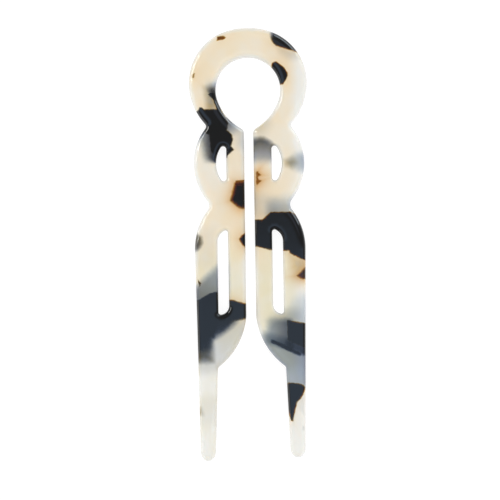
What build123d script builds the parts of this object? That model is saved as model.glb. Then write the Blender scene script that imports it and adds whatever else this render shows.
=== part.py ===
from build123d import *
import math
import os

# A hair pin in one piece, cut from a flat sheet of marbled cellulose acetate.
# Lengths are in millimetres and angles in degrees.
# Stations run down the pin: station 0 is the top of the ring.
# Each feature hangs from the one above it, so a change of length moves all that is below.
# Corners of the outline are given sharp, and each one has a rounding of its own.

# Sheet
thickness = 4.0
edge_rounding = 1.3          # round that tumbling leaves along every front and back edge
largest_edge_share = 0.45    # the rounds leave a tenth of the sheet's thickness between them

# Ring, outside
ring_width = 29.9            # at its widest
ring_height = 24.8           # from its top down to the neck
crown_radius = 18.0          # flatter arc over the top
crown_half_angle = 17.0      # share of that arc on each side of the midline
neck_width = 21.0            # between the sharp corners where the ring meets the upper lobe
neck_rounding = 1.0

# Ring, inside
crown_band = 7.55            # width of the ring at its top
hole_radius = 8.2
hole_flank_angle = 19.5      # how far below level the round part of the hole goes on

# Slit between the two halves
slit_mouth_drop = 1.1        # how far below the neck the hole runs into the slit
slit_mouth_extra = 0.2       # the mouth's corners are this much rounder than the edges
slit_top_width = 2.32
slit_bottom_width = 2.5
slit_bottom_drop = 0.6       # how far below the lower slot the slit starts to open
slit_bottom_rounding = 6.0

# Upper lobe and its slot, which is shaped like a D
upper_lobe_height = 20.1     # from the neck to the waist
upper_lobe_radius = 14.8
upper_bar_width = 4.6        # between the slit and the slot
upper_slot_width = 2.55
upper_slot_radius = 7.6      # of its round side
upper_slot_lift = 0.45       # how far the slot sits above the middle of the lobe
upper_slot_rounding = 0.75

# Waist
waist_width = 19.2           # between the sharp corners where the lobes meet
waist_rounding = 2.2

# Lower lobe and its slot, whose top slants in and whose bottom slants out
lower_lobe_width = 28.1      # at its widest
shoulder_height = 11.1       # from the waist down to the widest place
lower_bar_width = 4.4        # between the slit and the slot
lower_slot_width = 2.65
lower_slot_drop = 6.2        # from the waist down to the slot
lower_slot_length = 21.5
lower_slot_top_slant = 3.1   # how far the outer side stops short of the top
lower_slot_bottom_slant = 2.2
lower_slot_rounding = 0.6

# Fork and legs
fork_height = 12.9           # from the end of the slit down to the legs
fork_arc_radius = 18.2       # bulging edge from the slit to the leg
fork_rounding = 1.0
leg_length = 23.3            # right leg, from the fork to its tip
left_leg_extra = 0.6         # the left leg is a little longer
leg_top_width = 5.0
leg_tip_width = 3.85
legs_spread = 26.6           # across both legs, just above the tips
tip_length = 2.6             # length over which a leg closes to its tip
tip_extra = 0.3              # the tips are this much rounder than the edges

# Stations that the lengths add up to
neck_station = ring_height
slit_mouth_station = neck_station + slit_mouth_drop
waist_station = neck_station + upper_lobe_height
upper_slot_station = (neck_station + waist_station) / 2 - upper_slot_lift
shoulder_station = waist_station + shoulder_height
lower_slot_top = waist_station + lower_slot_drop
lower_slot_bottom = lower_slot_top + lower_slot_length
slit_bottom_station = lower_slot_bottom + slit_bottom_drop
fork_station = slit_bottom_station + fork_height


def at(half_width, station):
    """Point on the right half of the blank."""
    return Vector(half_width, -station)


def slit_half_width(station):
    """Half the slit's width, which grows a little from its mouth to its bottom."""
    share = (station - slit_mouth_station) / (slit_bottom_station - slit_mouth_station)
    return (slit_top_width + (slit_bottom_width - slit_top_width) * share) / 2


def round_corner(face, corner, radius):
    """Round the one corner of a face that lies at a point."""
    vertex = min(face.vertices(), key=lambda candidate: (candidate.center() - corner).length)
    return face.fillet_2d(radius, [vertex])


def ring_outside(neck):
    """Crown, side and flank of the ring, from the midline down to the neck."""
    turn = math.radians(crown_half_angle)
    side_radius = (ring_width / 2 - crown_radius * math.sin(turn)) / (1 - math.sin(turn))
    crown = JernArc(at(0, 0), (1, 0), crown_radius, -crown_half_angle)
    side = JernArc(crown @ 1, crown % 1, side_radius, crown_half_angle - 90)
    flank = TangentArc(side @ 1, neck, tangent=side % 1)
    return [crown, side, flank]


def ring_inside(slit_mouth):
    """Hole of the ring, round at first and then closing in a flatter arc to the slit."""
    hole_arc = JernArc(at(0, crown_band), (1, 0), hole_radius, -90 - hole_flank_angle)
    hole_flank = TangentArc(hole_arc @ 1, slit_mouth, tangent=hole_arc % 1)
    return [hole_arc, hole_flank]


def half(tip_station):
    """Right half of the blank without its slots, down to the tip of its leg."""
    tip_start = tip_station - tip_length
    neck = at(neck_width / 2, neck_station)
    waist = at(waist_width / 2, waist_station)
    shoulder = at(lower_lobe_width / 2, shoulder_station)
    outer_end = at(legs_spread / 2, tip_start)
    inner_end = at(legs_spread / 2 - leg_tip_width, tip_start)
    nose = at((legs_spread - leg_tip_width) / 2, tip_station)
    outer_edge = Line(shoulder, outer_end)
    beside_fork = outer_edge @ ((fork_station - shoulder_station) / (tip_start - shoulder_station))
    fork = beside_fork - Vector(leg_top_width, 0)
    slit_bottom = at(slit_half_width(slit_bottom_station), slit_bottom_station)
    slit_mouth = at(slit_half_width(slit_mouth_station), slit_mouth_station)

    inner_edge = Line(fork, inner_end)
    outline = ring_outside(neck) + ring_inside(slit_mouth)
    outline += [
        Line(at(0, 0), at(0, crown_band)),
        RadiusArc(neck, waist, upper_lobe_radius),
        TangentArc(shoulder, waist, tangent=(0, 1)),
        outer_edge,
        TangentArc(outer_end, nose, tangent=outer_edge % 1),
        TangentArc(inner_end, nose, tangent=inner_edge % 1),
        inner_edge,
        RadiusArc(slit_bottom, fork, -fork_arc_radius),
        Line(slit_bottom, slit_mouth),
    ]
    face = make_face(outline).face()
    face = round_corner(face, neck, neck_rounding)
    face = round_corner(face, waist, waist_rounding)
    face = round_corner(face, nose, edge_rounding + tip_extra)
    face = round_corner(face, fork, fork_rounding)
    face = round_corner(face, slit_bottom, slit_bottom_rounding)
    return round_corner(face, slit_mouth, edge_rounding + slit_mouth_extra)


def upper_slot():
    """D-shaped slot through the upper lobe."""
    inner = slit_half_width(upper_slot_station) + upper_bar_width
    crest = at(inner + upper_slot_width, upper_slot_station)
    reach = math.sqrt(upper_slot_radius**2 - (upper_slot_radius - upper_slot_width) ** 2)
    top = at(inner, upper_slot_station - reach)
    bottom = at(inner, upper_slot_station + reach)
    face = make_face([ThreePointArc(top, crest, bottom), Line(bottom, top)]).face()
    return face.fillet_2d(upper_slot_rounding, face.vertices())


def lower_slot():
    """Long slot through the lower lobe, between two straight sides and two slanting arcs."""
    inner = slit_half_width((lower_slot_top + lower_slot_bottom) / 2) + lower_bar_width
    outer = inner + lower_slot_width
    inner_top = at(inner, lower_slot_top)
    outer_bottom = at(outer, lower_slot_bottom)
    outer_side = Line(outer_bottom, at(outer, lower_slot_top + lower_slot_top_slant))
    inner_side = Line(inner_top, at(inner, lower_slot_bottom - lower_slot_bottom_slant))
    top_arc = TangentArc(outer_side @ 1, inner_top, tangent=outer_side % 1)
    bottom_arc = TangentArc(inner_side @ 1, outer_bottom, tangent=inner_side % 1)
    face = make_face([outer_side, top_arc, inner_side, bottom_arc]).face()
    for corner in (inner_top, outer_bottom):
        face = round_corner(face, corner, lower_slot_rounding)
    return face


def blank():
    """Flat outline of the whole pin, with its hole, slit and slots."""
    slots = [upper_slot(), lower_slot()]
    tip_station = fork_station + leg_length
    right = half(tip_station) - slots
    left = mirror(half(tip_station + left_leg_extra) - slots, about=Plane.YZ)
    return right + left


def hair_pin():
    """The pin lying on its back, centred over its footprint, with every edge tumbled round."""
    flat = blank()
    middle = flat.bounding_box().center()
    pin = extrude(Pos(-middle.X, -middle.Y) * flat, amount=thickness, dir=(0, 0, 1))
    faces = pin.faces().sort_by(Axis.Z)
    rounding = min(edge_rounding, thickness * largest_edge_share)
    return fillet(faces[0].edges() + faces[-1].edges(), rounding)


os.makedirs("parts", exist_ok=True)
export_step(hair_pin(), "parts/hair_pin.step")
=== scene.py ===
# %% [markdown]
# # A hair pin cut from marbled acetate
# The pin is one flat piece of cellulose acetate: a block of milky cream plastic with dark chips
# pressed into it, sliced into a sheet, cut to shape, tumbled until every edge is round, and polished.
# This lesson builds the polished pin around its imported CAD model, which fixes the size and the outline.
# The first cell loads that model. Everything below is in the model's own frame.

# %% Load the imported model
import math
from collections import namedtuple

import bmesh
import bpy
import numpy as np
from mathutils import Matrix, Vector
from mathutils.geometry import delaunay_2d_cdt
from mathutils.kdtree import KDTree


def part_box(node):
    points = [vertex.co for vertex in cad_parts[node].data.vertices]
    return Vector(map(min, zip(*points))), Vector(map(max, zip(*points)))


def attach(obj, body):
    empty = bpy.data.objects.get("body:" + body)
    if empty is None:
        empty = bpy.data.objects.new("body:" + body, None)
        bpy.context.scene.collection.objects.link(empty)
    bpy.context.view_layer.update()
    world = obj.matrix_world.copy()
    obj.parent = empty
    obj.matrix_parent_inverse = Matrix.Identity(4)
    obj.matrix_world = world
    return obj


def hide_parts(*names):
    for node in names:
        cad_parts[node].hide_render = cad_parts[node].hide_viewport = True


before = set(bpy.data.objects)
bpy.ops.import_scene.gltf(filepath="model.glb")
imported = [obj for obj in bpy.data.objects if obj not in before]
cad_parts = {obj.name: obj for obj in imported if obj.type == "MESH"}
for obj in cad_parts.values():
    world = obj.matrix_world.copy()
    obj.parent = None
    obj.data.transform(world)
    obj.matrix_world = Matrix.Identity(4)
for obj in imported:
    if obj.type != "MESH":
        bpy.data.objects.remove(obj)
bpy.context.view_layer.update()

MM = 0.001
cad_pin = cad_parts["hair_pin"]
low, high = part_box("hair_pin")
thickness = (high.z - low.z) / MM
print("pin, mm:", [round(side / MM, 2) for side in high - low])

# %% [markdown]
# ## The outline
# The CAD solid has the right outline, but a plain quarter round on its edges, and its mesh is made of
# flat facets. A tumbled edge is softer: it rolls off slowly from the flat face and turns quickly at the
# wall. A bevel modifier can't give that roll across a slot's bar, so the piece is built again from its
# outline. A level cut halfway up the solid gives that outline as closed loops of points.

# %% Cut the solid at half its height
same_point = 0.0005 * MM     # points closer than this are one


def cut_loops(mesh, height):
    """Closed loops, in millimetres, where a level cut goes through a mesh."""
    cut = bmesh.new()
    cut.from_mesh(mesh)
    bmesh.ops.remove_doubles(cut, verts=cut.verts, dist=same_point)
    everything = cut.verts[:] + cut.edges[:] + cut.faces[:]
    level_plane = {"plane_co": (0, 0, height), "plane_no": (0, 0, 1)}
    bmesh.ops.bisect_plane(cut, geom=everything, clear_inner=True, clear_outer=True, **level_plane)
    loops = []
    unused = set(cut.edges)
    for start in cut.edges:      # in their own order, so that every run starts at the same points
        if start not in unused:
            continue
        unused.remove(start)
        first, here = start.verts
        loop = [first.co.xy / MM]
        while here is not first:
            loop.append(here.co.xy / MM)
            edge = next(other for other in here.link_edges if other in unused)
            unused.remove(edge)
            here = edge.other_vert(here)
        loops.append(np.array(loop))
    cut.free()
    return loops


def signed_area(loop):
    ahead = np.roll(loop, -1, axis=0)
    return 0.5 * np.sum(loop[:, 0] * ahead[:, 1] - loop[:, 1] * ahead[:, 0])


mid_height = (low.z + high.z) / 2
rough_loops = cut_loops(cad_pin.data, mid_height)
rough_loops.sort(key=lambda loop: -abs(signed_area(loop)))
print("loops:", len(rough_loops), "of", [len(loop) for loop in rough_loops], "points")

# %% [markdown]
# The cut's points lie on the true curve, but straight chords join them, and a mirror finish shows every
# chord. A smooth curve is drawn through the points instead: at each point it runs along the middle
# direction of the two chords that meet there. Long straight sides first get points of their own, so
# that they stay straight. Tight corners get more points than gentle bends. The outside runs
# anticlockwise and the slots clockwise, so that the material is always on the left.

# %% Draw smooth curves through the cut
straight_turn = math.radians(0.2)      # points that turn less lie in line
longest_chord = 2.5                    # mm, and a longer chord is a straight side
straight_step = 0.7                    # largest gap between points on a straight side
outline_step = 0.3                     # largest gap on the smooth curve
outline_turn = math.radians(7)         # and the largest turn from one point to the next


def chords(loop):
    """Vector, length and direction of the step from each point to the next."""
    step = np.roll(loop, -1, axis=0) - loop
    length = np.linalg.norm(step, axis=1)
    return step, length, step / length[:, None]


def turns(loop):
    """How far the loop turns at each point, in radians."""
    direction = chords(loop)[2]
    before = np.roll(direction, 1, axis=0)
    cross = before[:, 0] * direction[:, 1] - before[:, 1] * direction[:, 0]
    return np.abs(np.arcsin(np.clip(cross, -1, 1)))


def with_straight_sides(loop):
    """The loop without the points that lie in line, and with even points on its long straight sides."""
    loop = loop[turns(loop) > straight_turn]
    made = []
    for point, step, length in zip(loop, *chords(loop)[:2]):
        count = math.ceil(length / straight_step) if length > longest_chord else 1
        made += [point + step * k / count for k in range(count)]
    return np.array(made)


def smooth_loop(loop):
    """Points on a smooth closed curve through the loop, and the direction of the curve at each."""
    step, length, direction = chords(loop)
    tangent = direction + np.roll(direction, 1, axis=0)
    tangent /= np.linalg.norm(tangent, axis=1)[:, None]
    turn = turns(loop)
    places = []
    ways = []
    for k in range(len(loop)):
        after = (k + 1) % len(loop)
        start, end = loop[k], loop[after]
        pull_start = tangent[k] * length[k]
        pull_end = tangent[after] * length[k]
        by_length = math.ceil(length[k] / outline_step)
        by_turn = math.ceil(max(turn[k], turn[after]) / outline_turn)
        count = max(by_length, by_turn)
        for t in np.arange(count) / count:
            place = (2 * t**3 - 3 * t**2 + 1) * start + (t**3 - 2 * t**2 + t) * pull_start
            place += (3 * t**2 - 2 * t**3) * end + (t**3 - t**2) * pull_end
            way = (6 * t**2 - 6 * t) * (start - end) + (3 * t**2 - 4 * t + 1) * pull_start
            way += (3 * t**2 - 2 * t) * pull_end
            places.append(place)
            ways.append(way / np.linalg.norm(way))
    return np.array(places), np.array(ways)


outline = []
for number, loop in enumerate(rough_loops):
    runs_anticlockwise = signed_area(loop) > 0
    is_outside = number == 0
    if runs_anticlockwise != is_outside:
        loop = loop[::-1]
    outline.append(smooth_loop(with_straight_sides(loop)))
print("smooth outline:", [len(places) for places, ways in outline], "points")

# %% [markdown]
# ## The tumbled edge
# Seen across an edge, a tumbled sheet is close to a superellipse: an ellipse whose power is above 2,
# which keeps the face flat for longer and then turns it down quickly. The tumbling chips of wood reach
# the outside freely and the slots hardly, so a slot has a narrower roll. Rows of points follow the
# outline at growing distances, close together where the surface turns fast. How far a point lies along
# its roll is a share: 0 at the outline, 1 where the flat face starts. A point that another edge would
# roll lower is dropped.

# %% Lay rows of points along the outline
outside_roll = 2.15          # width of the roll on the outside, in the ring's hole and in the slit
slot_roll = 1.25
roll_power = 2.6
wall_share = 0.17            # share of the thickness that stays upright
row_count = 12
lowest_allowed = 0.97        # another edge may give a row's point this share of its own
row_gap = 0.11               # points of one row stay this far apart


def roll_height(share):
    """Height above the middle of the sheet along the roll, from 0 to 1."""
    return (1 - np.clip(1 - share, 0, 1) ** roll_power) ** (1 / roll_power)


edge_places = np.vstack([places for places, ways in outline])
edge_inward = np.vstack([np.column_stack((-ways[:, 1], ways[:, 0])) for places, ways in outline])
loop_rolls = [outside_roll] + [slot_roll] * (len(outline) - 1)
edge_rolls = np.repeat(loop_rolls, [len(places) for places, ways in outline])
edge_tree = KDTree(len(edge_places))
for index, (x, y) in enumerate(edge_places):
    edge_tree.insert((x, y, 0), index)
edge_tree.balance()


def is_inside(x, y):
    place, index, distance = edge_tree.find((x, y, 0))
    return (x - place.x) * edge_inward[index][0] + (y - place.y) * edge_inward[index][1] > 0


def roll_share(x, y):
    """How far along its roll a point lies, by the edge that rolls it lowest."""
    near = edge_tree.find_range((x, y, 0), outside_roll)
    return min((distance / edge_rolls[index] for place, index, distance in near), default=1.0)


points = [tuple(place) for place in edge_places]
shares = [0.0] * len(points)
for row in range(1, row_count + 1):
    share = 1 - math.cos(math.radians(90 * row / row_count)) ** (2 / roll_power)
    last = (math.inf, math.inf)
    for x, y in edge_places + edge_inward * edge_rolls[:, None] * share:
        if math.dist(last, (x, y)) < row_gap or roll_share(x, y) < share * lowest_allowed:
            continue
        last = (x, y)
        points.append(last)
        shares.append(share)
print("points in rows:", len(points))

# %% [markdown]
# The flat middle needs only a light, even grid of points. A Delaunay triangulation joins all of them
# into well-shaped triangles and keeps the outline's own edges. Triangles in the slots and in the open
# slit are then left out, because their middles lie outside the material.

# %% Fill the middle and triangulate
grid_step = 0.8
row_step = grid_step * math.sqrt(3) / 2
half_x, half_y = (high.xy - low.xy) / 2 / MM
for j in range(math.ceil(2 * half_y / row_step)):
    for i in range(math.ceil(2 * half_x / grid_step)):
        x = -half_x + (i + 0.5 * (j % 2)) * grid_step
        y = -half_y + j * row_step
        if is_inside(x, y) and roll_share(x, y) >= 1:
            points.append((x, y))
            shares.append(1.0)

loop_edges = []
first = 0
for places, ways in outline:
    loop_length = len(places)
    loop_edges += [(first + k, first + (k + 1) % loop_length) for k in range(loop_length)]
    first += loop_length

merge_distance = 1e-5
flat = delaunay_2d_cdt([Vector(point) for point in points], loop_edges, [], 0, merge_distance)
flat_points = np.array([point[:] for point in flat[0]])
flat_shares = np.array([shares[origins[0]] for origins in flat[3]])
new_index = {origin: k for k, origins in enumerate(flat[3]) for origin in origins}
triangles = []
for triangle in flat[2]:
    centre = flat_points[list(triangle)].mean(axis=0)
    if is_inside(*centre):
        triangles.append(list(triangle))
print("points:", len(flat_points), "triangles on one face:", len(triangles))

# %% [markdown]
# The front and the back share this flat triangulation. Each point goes up or down by the height of the
# roll there, and a narrow upright wall joins the two. The share is kept on the mesh as an attribute,
# because the material needs it: the sheet looks paler near its edges.

# %% Build the pin's mesh
wall_half = thickness * wall_share / 2
rise = wall_half + (thickness / 2 - wall_half) * roll_height(flat_shares)


def face_of_sheet(side):
    """Points of the front, for side 1, or of the back, for side -1, in metres."""
    return np.column_stack((flat_points * MM, mid_height + side * rise * MM))


back_start = len(flat_points)      # the back's points follow the front's
back_faces = [[back_start + k for k in reversed(triangle)] for triangle in triangles]
wall_faces = []
for ends in loop_edges:
    start, end = [new_index[k] for k in ends]
    wall_faces.append([end, start, back_start + start, back_start + end])
both_faces = np.vstack((face_of_sheet(1), face_of_sheet(-1)))
mesh = bpy.data.meshes.new("pin_acetate")
mesh.from_pydata(both_faces.tolist(), [], triangles + back_faces + wall_faces)
mesh.shade_smooth()
share_attribute = mesh.attributes.new("roll_share", "FLOAT", "POINT")
share_attribute.data.foreach_set("value", np.tile(flat_shares, 2).astype(np.float32))
mesh.validate()
pin = bpy.data.objects.new("pin_acetate", mesh)
bpy.context.scene.collection.objects.link(pin)
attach(pin, "root")
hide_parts("hair_pin")
print("pin mesh:", len(mesh.vertices), "vertices,", len(mesh.polygons), "faces")

# %% [markdown]
# ## Helpers for node trees
# A procedural material is a graph of small nodes. These helpers add one node each, and take either a
# plain value or another node's output for every input, so that the graph reads like a sum.

# %% Node helpers
def plug(tree, value, socket):
    """Feed an input from another node's output, or set it to a plain value."""
    if isinstance(value, bpy.types.NodeSocket):
        tree.links.new(value, socket)
    else:
        socket.default_value = value


def maths(tree, operation, *values, clamp=False):
    node = tree.nodes.new("ShaderNodeMath")
    node.operation = operation
    node.use_clamp = clamp
    for value, socket in zip(values, node.inputs):
        plug(tree, value, socket)
    return node.outputs["Value"]


def vectors(tree, operation, *values):
    node = tree.nodes.new("ShaderNodeVectorMath")
    node.operation = operation
    for value, socket in zip(values, node.inputs):
        plug(tree, value, socket)
    return node.outputs["Value" if operation == "DOT_PRODUCT" else "Vector"]


def scaled(tree, vector, scale):
    node = tree.nodes.new("ShaderNodeVectorMath")
    node.operation = "SCALE"
    plug(tree, vector, node.inputs["Vector"])
    plug(tree, scale, node.inputs["Scale"])
    return node.outputs["Vector"]


def ramp(tree, value, start, end, to_start=0.0, to_end=1.0):
    """Map a range of values to another range, with soft ends."""
    node = tree.nodes.new("ShaderNodeMapRange")
    node.interpolation_type = "SMOOTHSTEP"
    node.clamp = False                 # a smooth step stays in its range without it
    names = ("Value", "From Min", "From Max", "To Min", "To Max")
    for name, setting in zip(names, (value, start, end, to_start, to_end)):
        plug(tree, setting, node.inputs[name])
    return node.outputs["Result"]


def blend(tree, share, first, second, kind="VECTOR"):
    node = tree.nodes.new("ShaderNodeMix")
    node.data_type = kind
    chosen = [socket for socket in node.inputs if socket.enabled]
    for value, socket in zip((share, first, second), chosen):
        plug(tree, value, socket)
    return next(socket for socket in node.outputs if socket.enabled)


def noise(tree, vector, scale, detail=2.0, roughness=0.5, output="Fac"):
    node = tree.nodes.new("ShaderNodeTexNoise")
    settings = {"Vector": vector, "Scale": scale, "Detail": detail, "Roughness": roughness}
    for name, setting in settings.items():
        plug(tree, setting, node.inputs[name])
    return node.outputs[output]


def new_group(name, inputs, outputs):
    """An empty node group with named sockets. Returns the tree, its inputs and its outputs."""
    tree = bpy.data.node_groups.new(name, "ShaderNodeTree")
    for title, kind, value in inputs:
        socket = tree.interface.new_socket(title, in_out="INPUT", socket_type="NodeSocket" + kind)
        socket.default_value = value
    for title, kind in outputs:
        tree.interface.new_socket(title, in_out="OUTPUT", socket_type="NodeSocket" + kind)
    enter = tree.nodes.new("NodeGroupInput")
    leave = tree.nodes.new("NodeGroupOutput")
    return tree, enter.outputs, leave.inputs


def place_group(tree, group, **values):
    """Put a group in a tree. A socket's name is given with underscores for its spaces."""
    node = tree.nodes.new("ShaderNodeGroup")
    node.node_tree = group
    for name, value in values.items():
        plug(tree, value, node.inputs[name.replace("_", " ")])
    return node.outputs


def srgb(red, green, blue):
    """A colour as picked on screen, from 0 to 255, as the linear colour that nodes work with."""
    shares = [level / 255 for level in (red, green, blue)]
    return [share / 12.92 if share <= 0.04045 else ((share + 0.055) / 1.055) ** 2.4 for share in shares]


print("node helpers ready; a screen grey of 128 is", round(srgb(128, 128, 128)[0], 3), "in linear light")

# %% [markdown]
# ## One dark chip in milky plastic
# A chip that reaches the surface is crisp. Where it thins out towards its edge it passes some light,
# and shows amber or brown. A chip that lies deeper is seen through milky plastic: it turns grey, then
# bluish, and its edge blurs. Both follow from one number, how deep the chip lies below the point that
# is looked at. A brown chip also stains the cream around it a little: its halo. The result is a dye, how
# strongly red, green and blue are soaked up. Dyes add up, so chips can overlap. An ink-blot image could
# show one view, but a rule in depth also gives the back and the walls of the slots.

# %% Build the chip group
amber_dye = (0.58, 0.95, 1.95)     # a thin warm layer lets red through
halo_dye = (0.38, 1.0, 1.95)       # what seeps out of it is more orange still
grey_dye = (1.08, 1.0, 0.82)       # a thick or buried one is neutral
misty_dye = (1.25, 1.0, 0.68)      # a deep one is bluish
clear_depth = 0.9                  # mm of milky plastic that hides two thirds of a chip
blur_per_depth = 0.45
rim_outside = 0.3                  # share of a chip's thin rim that lies outside its plate
glow_reach = 1.2                   # mm that a chip's brown seeps into the cream
brown_density = (3.5, 8.5)         # from the first to the second, a chip goes from brown to black
brown_depth = (0.1, 0.8)           # mm, and a brown one goes grey as it is buried
misty_depth = (1.4, 2.9)           # mm, and then bluish

chip_group, given, result = new_group(
    "Chip in depth",
    [
        ("Dye", "Vector", (0, 0, 0)),
        ("Point", "Vector", (0, 0, 1)),
        ("Height", "Float", 4.0),
        ("Patches", "Float", 1.0),
        ("Distance", "Float", 1.0),
        ("Top", "Vector", (0, 0, 4)),
        ("Bottom", "Vector", (0, 0, 0)),
        ("Rim", "Float", 0.5),
        ("Strength", "Float", 9.0),
        ("Warmth", "Float", 0.0),
        ("Halo", "Float", 0.0),
    ],
    [("Dye", "Vector")],
)
top_height = vectors(chip_group, "DOT_PRODUCT", given["Point"], given["Top"])
above = maths(chip_group, "SUBTRACT", given["Height"], top_height)
bottom_height = vectors(chip_group, "DOT_PRODUCT", given["Point"], given["Bottom"])
below = maths(chip_group, "SUBTRACT", bottom_height, given["Height"])
buried = maths(chip_group, "MAXIMUM", maths(chip_group, "MAXIMUM", above, below), 0.0)
blur = maths(chip_group, "MULTIPLY", buried, blur_per_depth)
start = maths(chip_group, "MULTIPLY_ADD", given["Rim"], rim_outside, blur)
inward = maths(chip_group, "SUBTRACT", start, given["Distance"])
reach = maths(chip_group, "MULTIPLY_ADD", blur, 2.0, given["Rim"])
cover = ramp(chip_group, maths(chip_group, "DIVIDE", inward, reach), 0.0, 1.0)
seen = maths(chip_group, "EXPONENT", maths(chip_group, "MULTIPLY", buried, -1 / clear_depth))
density = maths(chip_group, "MULTIPLY", maths(chip_group, "MULTIPLY", cover, seen), given["Strength"])
thin = ramp(chip_group, density, *brown_density, 1.0, 0.0)
near = ramp(chip_group, buried, *brown_depth, 1.0, 0.0)
warmth = maths(chip_group, "MULTIPLY", given["Warmth"], given["Patches"])
warm = maths(chip_group, "MULTIPLY", maths(chip_group, "MULTIPLY", thin, near), warmth)
warm = maths(chip_group, "MINIMUM", warm, 1.0)
tint = blend(chip_group, warm, grey_dye, amber_dye)
tint = blend(chip_group, ramp(chip_group, buried, *misty_depth), tint, misty_dye)
chip_dye = scaled(chip_group, tint, density)
outside = maths(chip_group, "MAXIMUM", given["Distance"], 0.0)
seep = maths(chip_group, "EXPONENT", maths(chip_group, "MULTIPLY", outside, -1 / glow_reach))
glow = maths(chip_group, "MULTIPLY", maths(chip_group, "MULTIPLY", seep, seen), given["Halo"])
glow_dye = scaled(chip_group, halo_dye, glow)
own_dye = vectors(chip_group, "ADD", chip_dye, glow_dye)
chip_group.links.new(vectors(chip_group, "ADD", given["Dye"], own_dye), result["Dye"])
print("chip group:", len(chip_group.nodes), "nodes")

# %% [markdown]
# ## Where the chips lie
# Each chip is one or more convex plates with sharp corners, as broken plastic has. A corner is given as
# (x, station): millimetres from the pin's midline, and down from the top of its ring. `front` says how
# deep the chip's upper face lies below the front of the pin, with its slope to the right and down the
# pin. `back` says the same from the back. A negative depth means that the surface cuts the chip. So a
# soft grey cloud on the front is a chip that is crisp on the back.

# %% The table of chips
Chip = namedtuple("Chip", "name front back rim strength warmth halo plates")
CUT = (-0.5, 0.0, 0.0)             # the surface cuts the chip
CRISP = 0.9                        # mm over which a chip's edge thins out
BLACK = 9.0
BROWN = 2.8

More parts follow.
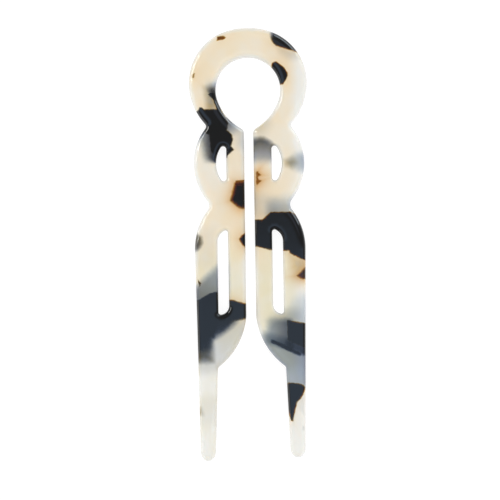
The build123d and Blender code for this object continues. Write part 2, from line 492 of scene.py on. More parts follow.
chips = [
    Chip("ring speck", CUT, (2.6, 0.0, 0.0), 0.5, BROWN, 1.0, 0.05,
         [[(-7.75, 3.3), (-7.65, 2.1), (-6.0, 2.0), (-5.35, 2.4), (-5.9, 2.9)]]),
    Chip("ring edge speck", CUT, (1.8, 0.0, 0.0), 0.4, 1.7, 0.6, 0.1,
         [[(-14.05, 12.5), (-13.75, 11.4), (-13.35, 11.3), (-13.6, 12.5)]]),
    Chip("ring right", (0.3, 0.1, -0.6), (1.4, -0.1, 0.0), CRISP, BLACK, 1.0, 0.15,
         [[(6.5, 0.4), (6.05, 2.0), (6.2, 3.3), (6.8, 4.3), (7.8, 4.9), (11.2, 6.0), (14.0, 6.8),
           (14.5, 5.0), (9.5, -0.6)]]),
    Chip("ring right shade", (0.6, 0.0, 0.0), (3.0, 0.0, 0.0), 2.6, 0.45, 0.3, 0.0,
         [[(7.5, 4.6), (12.4, 6.0), (13.4, 8.2), (10.4, 8.6), (8.0, 7.0)]]),
    Chip("hole right", CUT, (0.2, 0.0, 0.0), 0.75, BLACK, 0.9, 0.1,
         [[(6.1, 9.7), (6.35, 9.0), (7.3, 8.75), (8.35, 9.5), (9.35, 10.5), (10.05, 11.7),
           (10.05, 12.5), (9.6, 13.4), (8.8, 14.5), (7.0, 14.2)]]),
    Chip("hole left wedge", (0.0, 0.0, 0.0), (1.5, 0.0, 0.0), 0.7, BLACK, 0.3, 0.0,
         [[(-10.0, 16.8), (-9.5, 16.4), (-7.0, 16.3), (-7.0, 18.2), (-8.7, 18.2)],
          [(-9.1, 17.2), (-7.0, 16.8), (-7.0, 21.0), (-7.7, 21.0)]]),
    Chip("hole left cloud", (2.1, 0.1, -0.8), (0.0, 0.0, 0.0), 0.6, BLACK, 0.0, 0.0,
         [[(-10.2, 16.6), (-10.0, 13.6), (-6.0, 12.4), (-6.0, 16.6)]]),
    Chip("hole left shade", (0.5, 0.0, 0.0), (3.0, 0.0, 0.0), 2.6, 1.7, 1.2, 0.0,
         [[(-11.2, 14.8), (-8.6, 15.0), (-7.0, 21.0), (-10.5, 21.0)]]),
    Chip("neck", CUT, (0.3, -0.1, 0.1), CRISP, BLACK, 0.4, 0.08,
         [[(-12.6, 21.4), (-12.3, 20.1), (-11.9, 20.1), (-10.9, 21.0)],
          [(-14.5, 21.9), (-12.3, 20.65), (-7.0, 20.6), (-5.2, 24.1), (-5.7, 26.2), (-10.2, 26.8),
           (-14.5, 23.7)],
          [(-10.0, 25.0), (-6.4, 25.4), (-5.0, 26.3), (-4.35, 27.1), (-4.05, 28.3), (-4.5, 29.7),
           (-5.6, 32.8), (-9.4, 31.4)],
          [(-5.6, 29.6), (-4.6, 30.1), (-3.9, 30.85), (-5.7, 32.5)]]),
    Chip("neck edge", CUT, (2.4, 0.0, 0.0), 0.9, 2.2, 0.0, 0.0,
         [[(-10.6, 25.0), (-13.2, 26.0), (-14.2, 28.6), (-12.7, 28.4), (-10.9, 26.3)],
          [(-14.2, 26.5), (-12.4, 27.4), (-13.5, 30.4), (-15.0, 30.6)]]),
    Chip("neck left", (1.1, -0.6, 0.05), (0.0, -0.3, 0.0), 0.7, BLACK, 0.0, 0.0,
         [[(-13.6, 24.6), (-11.0, 33.4), (-7.0, 34.4), (-7.0, 24.6)]]),
    Chip("neck left tan", CUT, (3.0, 0.0, 0.0), 2.0, 0.16, 1.0, 0.0,
         [[(-12.6, 27.0), (-9.6, 27.0), (-8.0, 34.6), (-11.6, 34.2)]]),
    Chip("neck right cloud", (1.9, 0.3, 0.1), (0.4, 0.0, 0.0), 0.6, BLACK, 0.0, 0.0,
         [[(-6.4, 22.4), (-3.0, 24.0), (-2.8, 26.4), (-6.4, 27.0)]]),
    Chip("left arm shade", (0.5, 0.0, 0.0), (3.0, 0.0, 0.0), 3.0, 0.4, 0.0, 0.0,
         [[(-4.6, 23.6), (-0.5, 25.4), (-0.5, 31.4), (-3.2, 30.6)]]),
    Chip("slit square", CUT, (0.8, 0.1, 0.1), 1.7, 8.0, 1.2, 0.55,
         [[(-3.55, 39.5), (-0.4, 39.3), (-0.4, 45.6), (-2.0, 45.7), (-3.0, 45.3), (-4.7, 43.7)]]),
    Chip("slit square top", CUT, (2.4, 0.0, 0.0), 0.4, 2.4, 0.9, 0.0,
         [[(-3.5, 38.7), (-0.6, 38.5), (-0.6, 39.8), (-3.65, 39.9)]]),
    Chip("slit half", CUT, (1.2, 0.0, 0.0), 1.0, 8.5, 1.1, 0.3,
         [[(-0.6, 51.9), (-1.6, 52.3), (-2.75, 53.5), (-1.85, 55.1), (-0.6, 55.9)]]),
    Chip("left edge", CUT, (3.0, 0.0, 0.0), 1.5, 1.9, 0.2, 0.0,
         [[(-16.0, 51.0), (-13.4, 51.8), (-12.2, 52.9), (-12.0, 54.6), (-13.1, 56.3), (-16.0, 57.2)]]),
    Chip("left bar shade", (0.5, 0.0, 0.0), (3.0, 0.0, 0.0), 3.0, 0.1, 0.0, 0.0,
         [[(-16.0, 50.0), (-8.0, 50.0), (-8.0, 61.0), (-16.0, 61.0)]]),
    Chip("left leg speck", CUT, (2.8, 0.0, 0.0), 0.5, 3.2, 0.6, 0.1,
         [[(-13.45, 63.6), (-12.55, 64.6), (-12.95, 65.5), (-13.25, 64.9)]]),
    Chip("left blue cloud", (2.0, 0.02, -0.06), (0.0, 0.0, 0.0), 0.6, BLACK, 0.0, 0.0,
         [[(-17.0, 71.0), (-16.4, 67.3), (-12.6, 63.3), (-10.2, 60.9), (-8.8, 59.7), (-6.0, 59.1),
           (-6.0, 71.0)]]),
    Chip("left lower", (-0.7, 0.2, 0.3), (0.5, 0.0, -0.1), CRISP, BLACK, 0.1, 0.0,
         [[(-16.0, 70.4), (-10.6, 67.35), (-9.2, 66.95), (-7.6, 67.0), (-7.6, 71.0), (-9.6, 78.5),
           (-16.0, 80.0)],
          [(-16.0, 74.0), (-10.2, 74.0), (-10.2, 81.0), (-10.8, 81.7), (-16.0, 82.0)]]),
    Chip("left lower middle", (0.2, 0.0, 0.22), (0.1, 0.1, 0.0), CRISP, BLACK, 0.8, 0.25,
         [[(-11.0, 69.0), (-4.2, 69.2), (-4.2, 73.9), (-7.4, 76.9), (-9.6, 77.7), (-11.0, 77.9)],
          [(-6.2, 69.2), (-5.1, 68.95), (-0.4, 70.3), (-0.4, 73.5), (-4.5, 74.2), (-6.2, 74.0)]]),
    Chip("left fork cloud", (1.6, 0.0, 0.0), (0.0, 0.0, 0.0), 0.6, BLACK, 0.0, 0.0,
         [[(-11.0, 70.0), (-3.5, 70.0), (-3.2, 74.3), (-8.6, 78.8), (-11.0, 79.4)]]),
    Chip("left leg fade", (0.4, 0.0, 0.0), (1.0, 0.0, 0.0), 2.9, 3.5, 0.3, 0.0,
         [[(-16.0, 74.0), (-9.8, 74.0), (-9.8, 84.6), (-16.0, 84.8)]]),
    Chip("left fork shade", (0.7, 0.0, 0.0), (3.0, 0.0, 0.0), 3.2, 0.5, 0.6, 0.0,
         [[(-16.0, 82.0), (-10.4, 77.6), (-4.0, 73.4), (-0.4, 73.4), (-0.4, 77.0), (-8.0, 87.4),
           (-16.0, 88.6)]]),
    Chip("right neck tan", (0.5, 0.0, 0.0), (3.0, 0.0, 0.0), 3.0, 0.32, 0.9, 0.0,
         [[(0.5, 24.6), (5.0, 21.8), (6.4, 24.6), (4.0, 28.4), (0.5, 28.4)]]),
    Chip("right arm cloud", (0.4, -0.02, 0.24), (0.0, 0.0, 0.0), 1.8, 1.95, 0.17, 0.0,
         [[(-0.5, 28.1), (3.6, 27.6), (6.0, 29.0), (7.0, 30.2), (7.0, 34.3), (-0.5, 34.3)]]),
    Chip("right arm shade", (0.8, 0.0, 0.0), (3.0, 0.0, 0.0), 3.0, 0.5, 0.6, 0.0,
         [[(-0.5, 41.6), (4.0, 41.9), (7.0, 43.0), (7.0, 49.0), (-0.5, 49.0)]]),
    Chip("bracket", CUT, (3.0, 0.0, 0.0), 0.5, 2.0, 1.0, 0.52,
         [[(1.75, 36.5), (2.3, 36.4), (2.35, 39.6), (1.95, 40.0), (1.7, 39.6)],
          [(1.9, 36.6), (2.5, 36.8), (3.1, 37.4), (2.2, 38.0)],
          [(2.0, 38.4), (3.2, 38.8), (2.9, 39.2), (2.1, 39.8)]]),
    Chip("right lobe cloud", (2.65, 0.04, 0.0), (0.2, 0.0, 0.0), 0.6, BLACK, 0.0, 0.0,
         [[(10.0, 33.2), (12.0, 31.8), (16.5, 31.2), (16.5, 37.2), (11.8, 36.6), (10.0, 35.2)]]),
    Chip("right lobe spot", (0.4, 0.0, 0.0), (2.0, 0.0, 0.0), 2.2, 1.15, 0.9, 0.0,
         [[(8.8, 33.4), (11.2, 33.0), (12.2, 34.4), (11.0, 35.9), (8.8, 35.3)]]),
    Chip("right waist cloud", (2.6, 0.1, -0.1), (0.0, 0.0, 0.0), 1.6, BLACK, 0.0, 0.0,
         [[(4.6, 43.6), (7.6, 42.8), (12.0, 42.4), (12.5, 49.0), (4.6, 49.0)]]),
    Chip("right shoulder", CUT, (0.5, 0.1, 0.03), CRISP, BLACK, 1.0, 0.08,
         [[(-0.5, 52.0), (3.0, 48.85), (5.3, 46.85), (10.3, 46.9), (12.2, 47.8), (16.0, 52.0),
           (16.0, 56.6), (8.0, 56.6), (5.0, 56.3), (-0.5, 54.9)],
          [(-0.5, 48.8), (3.1, 48.7), (3.1, 55.4), (-0.5, 55.3)]]),
    Chip("right shoulder corner", CUT, (1.5, 0.0, 0.0), CRISP, BLACK, 1.1, 0.2,
         [[(9.8, 56.0), (16.0, 55.0), (16.0, 59.5), (13.7, 59.1), (12.4, 58.5), (10.1, 57.3)]]),
    Chip("right edge film", CUT, (3.2, 0.0, 0.0), 3.0, 0.27, 1.0, 0.0,
         [[(9.6, 57.4), (16.0, 58.6), (16.0, 61.4), (12.0, 63.0), (9.8, 61.4)]]),
    Chip("right edge chip", CUT, (0.6, 0.0, 0.0), 0.9, 4.0, 0.75, 0.6,
         [[(11.7, 63.1), (13.9, 60.9), (16.0, 60.5), (16.0, 64.0), (12.9, 63.9)]]),
    Chip("right bar mist", (3.2, 0.0, -0.05), (0.0, 0.0, 0.0), 0.6, BLACK, 0.0, 0.0,
         [[(10.0, 69.0), (16.0, 66.5), (16.0, 76.0), (8.0, 76.0)]]),
    Chip("right bar shade", (0.6, 0.0, 0.0), (3.0, 0.0, 0.0), 3.0, 0.6, 0.2, 0.0,
         [[(3.4, 74.4), (6.0, 72.0), (9.0, 71.0), (13.0, 71.4), (13.5, 75.0), (5.0, 76.0)]]),
    Chip("right lower", (-0.2, -0.05, 0.06), (0.4, 0.0, 0.0), CRISP, BLACK, 0.9, 0.05,
         [[(9.2, 74.4), (16.0, 75.6), (16.0, 82.4), (9.2, 79.3)]]),
    Chip("right lower cloud", (1.7, -0.18, -0.04), (0.0, 0.0, 0.0), 0.6, BLACK, 0.0, 0.0,
         [[(4.6, 74.0), (10.4, 74.0), (10.4, 82.0), (3.2, 79.6)]]),
    Chip("right lower wedge", (1.1, 0.0, 0.0), (1.5, 0.0, 0.0), 0.6, BLACK, 0.0, 0.0,
         [[(8.8, 79.4), (16.0, 79.4), (16.0, 83.6), (12.6, 83.2), (8.8, 81.4)]]),
    Chip("right lower streak", (0.4, 0.0, 0.0), (2.5, 0.0, 0.0), 0.6, BLACK, 0.0, 0.0,
         [[(5.0, 79.2), (5.7, 79.3), (12.4, 82.8), (12.2, 83.4), (9.0, 81.9), (5.0, 79.9)]]),
    Chip("right blue cloud", (2.25, -0.06, 0.05), (0.0, 0.0, 0.0), 0.6, BLACK, 0.0, 0.0,
         [[(2.4, 77.2), (16.5, 81.2), (16.5, 91.5), (6.0, 91.3), (2.4, 80.0)]]),
    Chip("right leg drop", CUT, (0.7, 0.0, 0.1), CRISP, BLACK, 0.9, 0.1,
         [[(8.0, 91.4), (9.2, 90.2), (10.3, 90.2), (12.7, 90.7), (13.3, 91.4), (13.1, 92.5),
           (12.3, 94.0), (11.2, 95.0), (8.0, 96.0)],
          [(8.6, 92.0), (11.3, 94.6), (10.9, 96.4), (10.1, 99.8), (9.75, 99.7), (8.7, 96.0)]]),
    Chip("right leg shade", (0.5, 0.0, 0.0), (3.0, 0.0, 0.0), 1.6, 0.25, 0.0, 0.0,
         [[(11.6, 94.6), (13.2, 93.0), (13.2, 98.6), (11.8, 97.0)]]),
    Chip("right leg mark", (0.2, 0.0, 0.0), (3.5, 0.0, 0.0), 0.8, 0.5, 0.0, 0.0,
         [[(12.55, 101.1), (13.0, 101.3), (12.9, 102.4), (12.6, 102.2)]]),
    Chip("left leg smudge", (0.5, 0.0, 0.0), (3.0, 0.0, 0.0), 1.2, 0.7, 0.6, 0.0,
         [[(-15.5, 95.9), (-12.8, 95.9), (-12.3, 98.3), (-15.5, 98.3)]]),
    Chip("left leg shade", (0.5, 0.0, 0.0), (3.0, 0.0, 0.0), 3.0, 0.13, 0.6, 0.0,
         [[(-16.0, 93.0), (-8.0, 93.0), (-8.0, 101.0), (-16.0, 101.0)]]),
]
print("chips:", len(chips), "with", sum(len(chip.plates) for chip in chips), "plates")

# %% [markdown]
# The distance to a convex plate is the largest of the distances to its sides, and each side is one dot
# product: a point (x, station, 1) times the side's normal and offset. Several plates of one chip are
# joined by the smallest of their distances. Both are taken softly, so that the deeper a chip lies, the
# rounder it looks. A little noise added to the point first gives the ragged edges of real chips.
# Light also enters at the rounded edges and lights up the milky plastic there, so a deep chip shows no
# darker on the roll than on the flat face: the height is pushed towards the nearer face before it is
# used. All chips sit in one group, so the material stays easy to read.

# %% Build the marbling group from the table
ragged_size = 0.9                  # mm, size of the coarsest wobble
ragged_amount = 0.4                # mm, how far it moves an edge
patch_size = 2.5                   # mm, size of the patches where a rim is warmer or greyer
patch_noise = (0.3, 0.7)           # noise below or above this makes the least or the most warmth
patch_warmth = (0.5, 1.3)
crisp_corner = 0.25                # mm, rounds the corners of a chip that is cut by the surface
deep_corner = 1.2                  # more of it for each mm of depth
side_light = 0.4                   # below 1, the light that enters at an edge hides deep chips there


def sides(plate):
    """Outward normal and offset of each side of a convex plate."""
    corners = np.array(plate)
    centre = corners.mean(axis=0)
    for start, end in zip(corners, np.roll(corners, -1, axis=0)):
        along = (end - start) / np.linalg.norm(end - start)
        normal = np.array((along[1], -along[0]))
        if normal @ (start - centre) < 0:
            normal = -normal
        yield normal[0], normal[1], -normal @ start


def folded(tree, operation, values, *extra):
    """Fold a list of values into one by a math operation on two at a time."""
    total = values[0]
    for value in values[1:]:
        total = maths(tree, operation, total, value, *extra)
    return total


def depth_plane(chip, layer, from_front):
    """Height of a chip's face over (x, station, 1), from a depth at its centre and two slopes."""
    centre = np.vstack(chip.plates).mean(axis=0)
    depth, right, down = layer
    at_origin = depth - right * centre[0] - down * centre[1]
    if from_front:
        return (-right, -down, thickness - at_origin)
    return (right, down, at_origin)


marbling, given, result = new_group("Marbling", [("Position", "Vector", (0, 0, 0))], [("Dye", "Vector")])
split = marbling.nodes.new("ShaderNodeSeparateXYZ")
marbling.links.new(given["Position"], split.inputs[0])
half_sheet = thickness / 2
lift = maths(marbling, "MULTIPLY_ADD", split.outputs["Z"], 1 / half_sheet, -1.0)
side_lit = maths(marbling, "POWER", maths(marbling, "ABSOLUTE", lift), side_light)
side_lit = maths(marbling, "MULTIPLY", side_lit, maths(marbling, "SIGN", lift))
level = maths(marbling, "MULTIPLY_ADD", side_lit, half_sheet, half_sheet)
station_point = vectors(marbling, "MULTIPLY_ADD", given["Position"], (1, 1, 0), (0, 0, 1))
wobble = marbling.nodes.new("ShaderNodeSeparateColor")
ragged = noise(marbling, given["Position"], 1 / ragged_size, detail=3.0, output="Color")
marbling.links.new(ragged, wobble.inputs[0])
push = marbling.nodes.new("ShaderNodeCombineXYZ")
for source, axis in (("Red", "X"), ("Green", "Y")):
    away = maths(marbling, "MULTIPLY_ADD", wobble.outputs[source], ragged_amount, -ragged_amount / 2)
    plug(marbling, away, push.inputs[axis])
ragged_point = vectors(marbling, "ADD", station_point, push.outputs[0])
patches = noise(marbling, given["Position"], 1 / patch_size, detail=1.0)
patches = ramp(marbling, patches, *patch_noise, *patch_warmth)
dye = (0.0, 0.0, 0.0)
for chip in chips:
    corner = crisp_corner + deep_corner * max(chip.front[0], 0)
    distances = []
    for plate in chip.plates:
        to_sides = [vectors(marbling, "DOT_PRODUCT", ragged_point, side) for side in sides(plate)]
        distances.append(folded(marbling, "SMOOTH_MAX", to_sides, corner))
    dye = place_group(
        marbling,
        chip_group,
        Dye=dye,
        Point=ragged_point,
        Height=level,
        Patches=patches,
        Distance=folded(marbling, "SMOOTH_MIN", distances, corner),
        Top=depth_plane(chip, chip.front, from_front=True),
        Bottom=depth_plane(chip, chip.back, from_front=False),
        Rim=chip.rim,
        Strength=chip.strength,
        Warmth=chip.warmth,
        Halo=chip.halo,
    )["Dye"]
    dye.node.label = chip.name
marbling.links.new(dye, result["Dye"])
print("marbling group:", len(marbling.nodes), "nodes")

# %% [markdown]
# ## The milky cream
# The clear parts aren't white: they are warm where the sheet is seen at its full depth, and paler near
# the edges, where more light comes back out. Slow clouds of noise keep the two from changing evenly.
# Lower down the pin the warm tone turns to straw. The legs and the upper lobes come from paler parts
# of the block. The right side is painted paler as well: painted light, standing in for the light from the
# right.

# %% Build the cream group
cloud_scale = 0.16                 # clouds of about 6 mm
cloud_noise = (0.35, 0.7)          # a cloud starts at the first and is full at the second
cloud_paleness = 0.35
edge_reach = 0.6                   # share of the roll that is paler than the flat face
edge_paleness = 0.75
legs_start = (78.5, 88.5)          # stations over which the legs turn pale
legs_slant = 0.5                   # mm higher up for each mm to the left
leg_distance = 10.0                # mm from the midline to either leg
left_leg_paleness = 0.7
# painted light: the right side is painted paler, as the light from the right shows it
painted_right_light_start = (9.5, 13.5)          # mm right of the midline over which the right side turns pale
ring_end = (22.0, 40.0)            # stations over which it does so less and less
upper_right_paleness = 0.3
lower_right_start = (60.0, 68.0)   # stations over which it comes back
lobes_start = (22.0, 29.0)
lobes_end = (37.0, 44.0)
lobes_paleness = 0.3
straw_start = (50.0, 66.0)         # stations over which the warm tone turns to straw

cream_group, given, result = new_group(
    "Milky cream",
    [
        ("Position", "Vector", (0, 0, 0)),
        ("Edge", "Float", 1.0),
        ("Warm", "Color", (*srgb(240, 226, 199), 1)),
        ("Straw", "Color", (*srgb(231, 223, 194), 1)),
        ("Pale", "Color", (*srgb(237, 235, 228), 1)),
    ],
    [("Color", "Color")],
)
split = cream_group.nodes.new("ShaderNodeSeparateXYZ")
cream_group.links.new(given["Position"], split.inputs[0])
across, down = split.outputs["X"], split.outputs["Y"]
clouds = noise(cream_group, given["Position"], cloud_scale)
clouds = ramp(cream_group, clouds, *cloud_noise)
near_edge = ramp(cream_group, given["Edge"], 0.0, edge_reach, 1.0, 0.0)
slanted = maths(cream_group, "MULTIPLY_ADD", across, -legs_slant, down)
legs = ramp(cream_group, slanted, *legs_start)
which_leg = ramp(cream_group, across, -leg_distance, leg_distance, left_leg_paleness, 1.0)
legs = maths(cream_group, "MULTIPLY", legs, which_leg)
# painted light from the right: the right side is made paler along the ring and the lower end
painted_right_light = ramp(cream_group, across, *painted_right_light_start)
in_ring = ramp(cream_group, down, *ring_end, 1.0, upper_right_paleness)
in_lower_end = ramp(cream_group, down, *lower_right_start)
along_pin = maths(cream_group, "MAXIMUM", in_ring, in_lower_end)
painted_right_light = maths(cream_group, "MULTIPLY", painted_right_light, along_pin)
paleness = maths(cream_group, "MAXIMUM", legs, painted_right_light)
near_edge = maths(cream_group, "MULTIPLY", near_edge, edge_paleness)
paleness = maths(cream_group, "MAXIMUM", paleness, near_edge)
paleness = maths(cream_group, "MULTIPLY_ADD", clouds, cloud_paleness, paleness)
below_ring = ramp(cream_group, down, *lobes_start)
above_waist = ramp(cream_group, down, *lobes_end, lobes_paleness, 0.0)
upper_lobes = maths(cream_group, "MULTIPLY", below_ring, above_waist)
paleness = maths(cream_group, "ADD", paleness, upper_lobes, clamp=True)
straw_share = ramp(cream_group, down, *straw_start)
full_depth = blend(cream_group, straw_share, given["Warm"], given["Straw"], "RGBA")
cream = blend(cream_group, paleness, full_depth, given["Pale"], "RGBA")
cream_group.links.new(cream, result["Color"])
print("cream group:", len(cream_group.nodes), "nodes")

# %% [markdown]
# ## Polish marks
# Tumbling and wear leave hairlines too fine to see one by one. They widen the highlights a little and
# break them up. Stretched noise makes the hairlines, and broad noise the slight swell that polishing by
# hand leaves. The same group is used on the table under the pin, with its own values.

# %% Build the polish group
hairline_angles = (31, -52)        # degrees
hairline_stretch = (0.25, 9.0, 0.25)
hairline_noise = (0.56, 0.74)      # a hairline starts at the first and is full at the second
hairline_depth = 0.02
smear_scale = 0.35                 # smears of about 3 mm
smear_noise = (0.35, 0.75)
swell_scale = 0.22                 # a swell of about 5 mm

polish_group, given, result = new_group(
    "Polish marks",
    [
        ("Position", "Vector", (0, 0, 0)),
        ("Roughness", "Float", 0.05),
        ("Hairlines", "Float", 0.05),
        ("Smears", "Float", 0.03),
    ],
    [("Roughness", "Float"), ("Height", "Float")],
)
lines = []
for angle in hairline_angles:
    turned = polish_group.nodes.new("ShaderNodeMapping")
    turned.vector_type = "POINT"
    turned.inputs["Rotation"].default_value = (0, 0, math.radians(angle))
    turned.inputs["Scale"].default_value = hairline_stretch
    polish_group.links.new(given["Position"], turned.inputs["Vector"])
    fine = noise(polish_group, turned.outputs["Vector"], 1.0, detail=3.0, roughness=0.7)
    lines.append(ramp(polish_group, fine, *hairline_noise))
hairlines = folded(polish_group, "MAXIMUM", lines)
smears = noise(polish_group, given["Position"], smear_scale, detail=3.0)
smears = ramp(polish_group, smears, *smear_noise)
rough = maths(polish_group, "MULTIPLY_ADD", hairlines, given["Hairlines"], given["Roughness"])
rough = maths(polish_group, "MULTIPLY_ADD", smears, given["Smears"], rough)
swell = noise(polish_group, given["Position"], swell_scale, detail=1.0)
height = maths(polish_group, "MULTIPLY_ADD", hairlines, -hairline_depth, swell)
polish_group.links.new(rough, result["Roughness"])
polish_group.links.new(height, result["Height"])
print("polish group:", len(polish_group.nodes), "nodes")

# %% [markdown]
# ## The acetate
# The groups meet here. The cream is multiplied by what each dye lets through, which falls off as the
# exponential of the dye. Some light scatters below the surface, which softens the shading of the cream
# as in real milky plastic. The gloss is one clear polished surface with acetate's own refraction.

# %% Build the acetate
acetate = bpy.data.materials.new("acetate")
acetate.use_nodes = True
tree = acetate.node_tree
tree.nodes.clear()
out = tree.nodes.new("ShaderNodeOutputMaterial")
shader = tree.nodes.new("ShaderNodeBsdfPrincipled")
tree.links.new(shader.outputs["BSDF"], out.inputs["Surface"])
geometry = tree.nodes.new("ShaderNodeNewGeometry")
ring_top = high.y / MM
place = geometry.outputs["Position"]
per_mm = (1 / MM, -1 / MM, 1 / MM)
to_station = vectors(tree, "MULTIPLY_ADD", place, per_mm, (0, ring_top, 0))
edge = tree.nodes.new("ShaderNodeAttribute")
edge.attribute_name = "roll_share"
cream = place_group(tree, cream_group, Position=to_station, Edge=edge.outputs["Fac"])["Color"]
dye = place_group(tree, marbling, Position=to_station)["Dye"]
dye_parts = tree.nodes.new("ShaderNodeSeparateXYZ")
tree.links.new(dye, dye_parts.inputs[0])
passed = tree.nodes.new("ShaderNodeCombineXYZ")
for channel in "XYZ":
    soaked = maths(tree, "EXPONENT", maths(tree, "MULTIPLY", dye_parts.outputs[channel], -1.0))
    tree.links.new(soaked, passed.inputs[channel])
tree.links.new(vectors(tree, "MULTIPLY", cream, passed.outputs[0]), shader.inputs["Base Color"])
polish = place_group(tree, polish_group, Position=to_station)
tree.links.new(polish["Roughness"], shader.inputs["Roughness"])
bump = tree.nodes.new("ShaderNodeBump")
bump.inputs["Strength"].default_value = 0.1
bump.inputs["Distance"].default_value = 0.1 * MM
tree.links.new(polish["Height"], bump.inputs["Height"])
tree.links.new(bump.outputs["Normal"], shader.inputs["Normal"])
shader.inputs["IOR"].default_value = 1.48
shader.inputs["Subsurface Weight"].default_value = 0.8
shader.inputs["Subsurface Radius"].default_value = (1.0, 0.95, 0.9)
shader.inputs["Subsurface Scale"].default_value = 1.6 * MM
pin.data.materials.append(acetate)
print("acetate:", len(tree.nodes), "nodes beside its groups")

# %% [markdown]
# ## The table
# Pins like this are photographed on a lit white table, which hides every hard shadow and shows the
# outline cleanly. The table is a large plain sheet that glows a little by itself, so that only a faint
# shadow stays beside the pin. Its underside is clear, so that the pin's back can be looked at as well.

# %% Lay the pin on a lit table
table_half = 2.0
table_level = -0.05 * MM     # just clear of the pin's flat back
corners = [
    (-table_half, -table_half, table_level),
    (table_half, -table_half, table_level),
    (table_half, table_half, table_level),
    (-table_half, table_half, table_level),
]
table_mesh = bpy.data.meshes.new("table")
table_mesh.from_pydata(corners, [], [(0, 1, 2, 3)])
table = bpy.data.objects.new("table", table_mesh)
bpy.context.scene.collection.objects.link(table)
white = bpy.data.materials.new("white_table")
white.use_nodes = True
tree = white.node_tree
shader = tree.nodes["Principled BSDF"]
shader.inputs["Base Color"].default_value = (0.2, 0.2, 0.2, 1)
shader.inputs["Emission Color"].default_value = (1, 1, 1, 1)
shader.inputs["Emission Strength"].default_value = 0.88
shader.inputs["Specular IOR Level"].default_value = 0.0
geometry = tree.nodes.new("ShaderNodeNewGeometry")
table_place = scaled(tree, geometry.outputs["Position"], 1 / MM)
polish = place_group(tree, polish_group, Position=table_place, Roughness=0.6)
tree.links.new(polish["Roughness"], shader.inputs["Roughness"])
clear = tree.nodes.new("ShaderNodeBsdfTransparent")
one_way = tree.nodes.new("ShaderNodeMixShader")
tree.links.new(geometry.outputs["Backfacing"], one_way.inputs["Fac"])
tree.links.new(shader.outputs["BSDF"], one_way.inputs[1])
tree.links.new(clear.outputs["BSDF"], one_way.inputs[2])
tree.links.new(one_way.outputs["Shader"], tree.nodes["Material Output"].inputs["Surface"])
table_mesh.materials.append(white)
print("table:", 2 * table_half, "m wide")

# %% [markdown]
# ## The light
# Milky plastic needs soft, even light, but a polished black chip shows every lamp as a shape. So each
# light does one of the two tasks. The overhead box and two weak fills light the cream, and the polish
# doesn't show them. The left wall, the window on the right and the small key show in the polish alone,
# as thin lines inside the edges that face them. Two patches of lit ceiling with soft borders turn the
# black chips a bluish grey in some places and leave them black in others. The room adds the rest.

# %% Set up the lights
straight_up = 89.9           # degrees; at 90 the box's own turn would be left open
ceiling_height = 0.9


def soft_box(name, azimuth, elevation, distance, size, radiance, color, shows_in):
    """A rectangular light aimed at the pin. Azimuth 0 is to the right, 90 is towards the ring's top."""
    width, height = size
    light = bpy.data.lights.new(name, "AREA")
    light.shape = "RECTANGLE"
    light.size = width
    light.size_y = height
    light.energy = radiance * math.pi * width * height
    light.color = color
    box = bpy.data.objects.new(name, light)
    box.visible_diffuse = shows_in == "cream"
    box.visible_glossy = shows_in == "polish"
    around, up = math.radians(azimuth), math.radians(elevation)
    way = Vector((math.cos(around) * math.cos(up), math.sin(around) * math.cos(up), math.sin(up)))
    box.location = way * distance
    box.rotation_euler = way.to_track_quat("Z", "Y").to_euler()
    bpy.context.scene.collection.objects.link(box)
    return box


def ceiling_patch(name, left, right, near, far, softness, radiance, color):
    """A lit part of the ceiling with soft edges, that only the polish shows."""
    size = (right - left + softness, far - near + softness)
    panel = soft_box(name, 90, straight_up, ceiling_height, size, radiance, color, "polish")
    panel.location = ((left + right) / 2, (near + far) / 2, ceiling_height)
    panel.rotation_euler = (0, 0, 0)
    panel.data.use_nodes = True
    tree = panel.data.node_tree
    place = tree.nodes.new("ShaderNodeSeparateXYZ")
    tree.links.new(tree.nodes.new("ShaderNodeNewGeometry").outputs["Position"], place.inputs[0])
    half = softness / 2
    fades = [
        ramp(tree, place.outputs["X"], left - half, left + half),
        ramp(tree, place.outputs["X"], right - half, right + half, 1.0, 0.0),
        ramp(tree, place.outputs["Y"], near - half, near + half),
        ramp(tree, place.outputs["Y"], far - half, far + half, 1.0, 0.0),
    ]
    plug(tree, folded(tree, "MULTIPLY", fades), tree.nodes["Emission"].inputs["Strength"])
    return panel


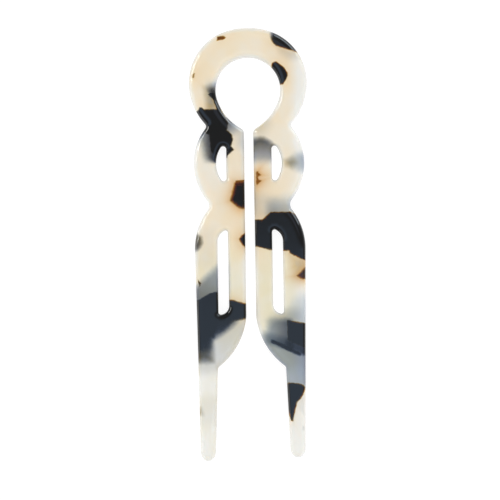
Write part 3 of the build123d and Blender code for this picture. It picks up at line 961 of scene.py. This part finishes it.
soft_box("overhead", azimuth=90, elevation=straight_up, distance=1.6, size=(2.0, 2.0),
         radiance=1.62, color=(1.0, 1.0, 1.0), shows_in="cream")
soft_box("left_fill", azimuth=182, elevation=12, distance=1.2, size=(2.0, 0.5),
         radiance=1.0, color=(0.96, 0.98, 1.0), shows_in="cream")
soft_box("right_fill", azimuth=-8, elevation=11, distance=1.2, size=(1.5, 0.45),
         radiance=1.5, color=(0.9, 0.93, 1.0), shows_in="cream")
soft_box("left_wall", azimuth=195, elevation=6, distance=1.2, size=(1.7, 0.25),
         radiance=3.0, color=(0.92, 0.96, 1.0), shows_in="polish")
soft_box("right_window", azimuth=45, elevation=15, distance=0.9, size=(0.7, 0.45),
         radiance=5.0, color=(0.8, 0.92, 1.0), shows_in="polish")
soft_box("key", azimuth=157, elevation=27, distance=0.8, size=(0.42, 0.17),
         radiance=14.0, color=(1.0, 0.98, 0.95), shows_in="polish")
ceiling_patch("low_ceiling", left=-1.6, right=1.6, near=-0.3, far=0.0, softness=0.09,
              radiance=0.95, color=(0.45, 0.68, 1.0))
ceiling_patch("ring_ceiling", left=0.0, right=0.5, near=0.1, far=0.3, softness=0.04,
              radiance=0.5, color=(0.6, 0.72, 1.0))
world = bpy.data.worlds.new("studio")
bpy.context.scene.world = world
world.use_nodes = True
room = world.node_tree.nodes["Background"]
room.inputs["Color"].default_value = (0.95, 0.97, 1.0, 1)
room.inputs["Strength"].default_value = 0.42

# %% [markdown]
# ## The camera
# The camera looks straight down from far away through a long lens, so that the outline stays true.
# Its picture is turned a little, as in the photograph. The lens follows from the width of the view.

# %% Aim the camera
view_width = 127.0 * MM
view_roll = math.radians(0.87)
camera_height = 0.8
aim = (-0.08 * MM, -1.49 * MM)     # what the middle of the picture looks at
camera_data = bpy.data.cameras.new("camera")
camera_data.sensor_width = 36.0
camera_data.lens = camera_data.sensor_width * (camera_height - mid_height) / view_width
camera_data.clip_start = 0.01
camera = bpy.data.objects.new("camera", camera_data)
camera.location = (*aim, camera_height)
camera.rotation_euler = (0, 0, -view_roll)
bpy.context.scene.collection.objects.link(camera)
bpy.context.scene.camera = camera
bpy.context.scene.view_settings.view_transform = "Standard"
print("lens, mm:", round(camera_data.lens, 1))
